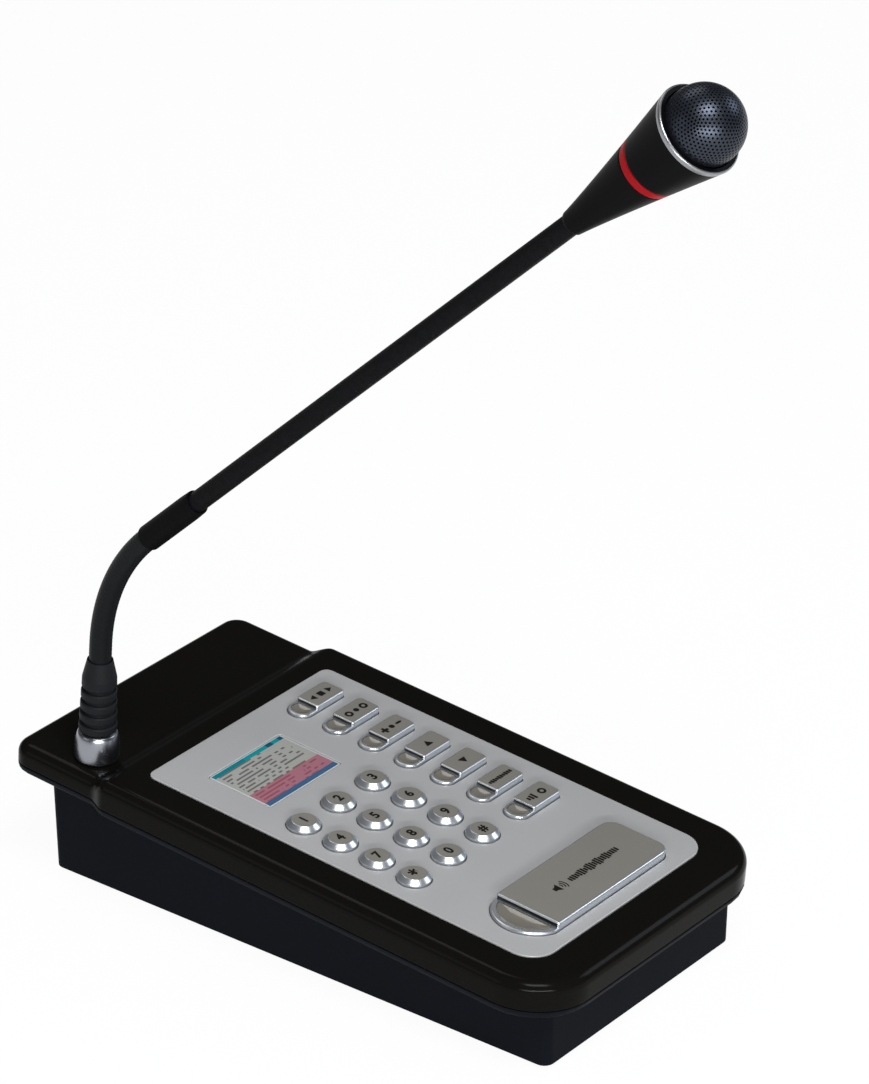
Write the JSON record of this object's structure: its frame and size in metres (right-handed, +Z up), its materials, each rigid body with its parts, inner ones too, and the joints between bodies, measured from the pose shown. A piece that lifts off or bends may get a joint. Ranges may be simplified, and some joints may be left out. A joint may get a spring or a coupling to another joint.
{
  "type": "paging microphone",
  "caption": "Desk paging console with a sloping keypad panel, a small colour display, a long talk bar and a gooseneck microphone with a light ring.",
  "frame": {"origin": "on the table under the middle of the base's footprint", "axes": "+Z up, +Y towards the rear of the console, +X to the user's right; the user sits on the -Y side"},
  "size_m": [0.135, 0.3077, 0.3828],
  "materials": {
    "black_plastic": "fine satin grain, near black",
    "blue_black_plastic": "fine matt grain, bluish black",
    "silver_paint": "satin silver",
    "silver_key": "silver paint with bright bevelled edges",
    "clear_plastic": "pale translucent, glossy",
    "window_plastic": "clear window over a lit colour screen",
    "rubber": "matt moulded rubber",
    "silicone": "matt silicone",
    "circuit_board": "green solder mask",
    "plain_steel": "plain zinc-plated steel",
    "chrome": "polished chrome plate",
    "black_metal": "satin black coating",
    "red_light": "translucent red, unlit",
    "grille_metal": "dark perforated metal"
  },
  "bodies": {
    "console": {"base_shell": "blue_black_plastic", "top_cover": "black_plastic", "front_panel": "silver_paint", "display_window": "window_plastic", "display_module": "plain_steel", "key_mat": "silicone", "keypad_board": "circuit_board", "main_board": "circuit_board", "ballast_plate": "plain_steel", "network_socket": "black_plastic", "power_socket": "black_plastic", "gooseneck_stud": "plain_steel", "lock_nut": "plain_steel", "gooseneck_nut": "chrome", "rubber_foot_1": "rubber", "rubber_foot_2": "rubber", "rubber_foot_3": "rubber", "rubber_foot_4": "rubber", "case_screw_1": "plain_steel", "case_screw_2": "plain_steel", "case_screw_3": "plain_steel", "case_screw_4": "plain_steel"},
    "neck": {"gooseneck_boot": "rubber", "flexible_conduit": "black_metal"},
    "arm": {"joining_sleeve": "black_metal", "rigid_tube": "black_metal", "head_cone": "black_plastic", "light_ring": "red_light", "head_cup": "black_plastic", "grille_dome": "grille_metal", "mic_capsule": "plain_steel"},
    "number_key_1": {"number_key_1": "silver_key"},
    "number_key_2": {"number_key_2": "silver_key"},
    "number_key_3": {"number_key_3": "silver_key"},
    "number_key_4": {"number_key_4": "silver_key"},
    "number_key_5": {"number_key_5": "silver_key"},
    "number_key_6": {"number_key_6": "silver_key"},
    "number_key_7": {"number_key_7": "silver_key"},
    "number_key_8": {"number_key_8": "silver_key"},
    "number_key_9": {"number_key_9": "silver_key"},
    "number_key_10": {"number_key_10": "silver_key"},
    "number_key_11": {"number_key_11": "silver_key"},
    "number_key_12": {"number_key_12": "silver_key"},
    "function_key_1": {"function_key_1": "silver_key", "function_lens_1": "clear_plastic"},
    "function_key_2": {"function_key_2": "silver_key", "function_lens_2": "clear_plastic"},
    "function_key_3": {"function_key_3": "silver_key", "function_lens_3": "clear_plastic"},
    "function_key_4": {"function_key_4": "silver_key", "function_lens_4": "clear_plastic"},
    "function_key_5": {"function_key_5": "silver_key", "function_lens_5": "clear_plastic"},
    "function_key_6": {"function_key_6": "silver_key", "function_lens_6": "clear_plastic"},
    "function_key_7": {"function_key_7": "silver_key", "function_lens_7": "clear_plastic"},
    "talk_bar": {"talk_bar": "silver_key", "talk_lens": "clear_plastic"}
  },
  "joints": [
    {"name": "number_key_1_press", "type": "slide", "parent": "console", "child": "number_key_1", "axis": [0, 0.0755, -0.9971], "range_m": [0, 0.0012], "stiffness_N_per_m": 700},
    {"name": "number_key_2_press", "type": "slide", "parent": "console", "child": "number_key_2", "axis": [0, 0.0755, -0.9971], "range_m": [0, 0.0012], "stiffness_N_per_m": 700},
    {"name": "number_key_3_press", "type": "slide", "parent": "console", "child": "number_key_3", "axis": [0, 0.0755, -0.9971], "range_m": [0, 0.0012], "stiffness_N_per_m": 700},
    {"name": "number_key_4_press", "type": "slide", "parent": "console", "child": "number_key_4", "axis": [0, 0.0755, -0.9971], "range_m": [0, 0.0012], "stiffness_N_per_m": 700},
    {"name": "number_key_5_press", "type": "slide", "parent": "console", "child": "number_key_5", "axis": [0, 0.0755, -0.9971], "range_m": [0, 0.0012], "stiffness_N_per_m": 700},
    {"name": "number_key_6_press", "type": "slide", "parent": "console", "child": "number_key_6", "axis": [0, 0.0755, -0.9971], "range_m": [0, 0.0012], "stiffness_N_per_m": 700},
    {"name": "number_key_7_press", "type": "slide", "parent": "console", "child": "number_key_7", "axis": [0, 0.0755, -0.9971], "range_m": [0, 0.0012], "stiffness_N_per_m": 700},
    {"name": "number_key_8_press", "type": "slide", "parent": "console", "child": "number_key_8", "axis": [0, 0.0755, -0.9971], "range_m": [0, 0.0012], "stiffness_N_per_m": 700},
    {"name": "number_key_9_press", "type": "slide", "parent": "console", "child": "number_key_9", "axis": [0, 0.0755, -0.9971], "range_m": [0, 0.0012], "stiffness_N_per_m": 700},
    {"name": "number_key_10_press", "type": "slide", "parent": "console", "child": "number_key_10", "axis": [0, 0.0755, -0.9971], "range_m": [0, 0.0012], "stiffness_N_per_m": 700},
    {"name": "number_key_11_press", "type": "slide", "parent": "console", "child": "number_key_11", "axis": [0, 0.0755, -0.9971], "range_m": [0, 0.0012], "stiffness_N_per_m": 700},
    {"name": "number_key_12_press", "type": "slide", "parent": "console", "child": "number_key_12", "axis": [0, 0.0755, -0.9971], "range_m": [0, 0.0012], "stiffness_N_per_m": 700},
    {"name": "function_key_1_press", "type": "slide", "parent": "console", "child": "function_key_1", "axis": [0, 0.0755, -0.9971], "range_m": [0, 0.0012], "stiffness_N_per_m": 800},
    {"name": "function_key_2_press", "type": "slide", "parent": "console", "child": "function_key_2", "axis": [0, 0.0755, -0.9971], "range_m": [0, 0.0012], "stiffness_N_per_m": 800},
    {"name": "function_key_3_press", "type": "slide", "parent": "console", "child": "function_key_3", "axis": [0, 0.0755, -0.9971], "range_m": [0, 0.0012], "stiffness_N_per_m": 800},
    {"name": "function_key_4_press", "type": "slide", "parent": "console", "child": "function_key_4", "axis": [0, 0.0755, -0.9971], "range_m": [0, 0.0012], "stiffness_N_per_m": 800},
    {"name": "function_key_5_press", "type": "slide", "parent": "console", "child": "function_key_5", "axis": [0, 0.0755, -0.9971], "range_m": [0, 0.0012], "stiffness_N_per_m": 800},
    {"name": "function_key_6_press", "type": "slide", "parent": "console", "child": "function_key_6", "axis": [0, 0.0755, -0.9971], "range_m": [0, 0.0012], "stiffness_N_per_m": 800},
    {"name": "function_key_7_press", "type": "slide", "parent": "console", "child": "function_key_7", "axis": [0, 0.0755, -0.9971], "range_m": [0, 0.0012], "stiffness_N_per_m": 800},
    {"name": "talk_bar_press", "type": "slide", "parent": "console", "child": "talk_bar", "axis": [0, 0.0755, -0.9971], "range_m": [0, 0.0012], "stiffness_N_per_m": 1500},
    {"name": "gooseneck_turn", "type": "hinge", "parent": "console", "child": "neck", "pos_m": [-0.0507, 0.0953, 0.05161], "axis": [0, -0.0755, 0.9971], "range_deg": [-90, 90]},
    {"name": "gooseneck_bend", "type": "hinge", "parent": "neck", "child": "arm", "pos_m": [-0.0507, 0.08423, 0.12688], "axis": [1, 0, 0], "range_deg": [-60, 40], "deforming": ["flexible_conduit"]}
  ]
}
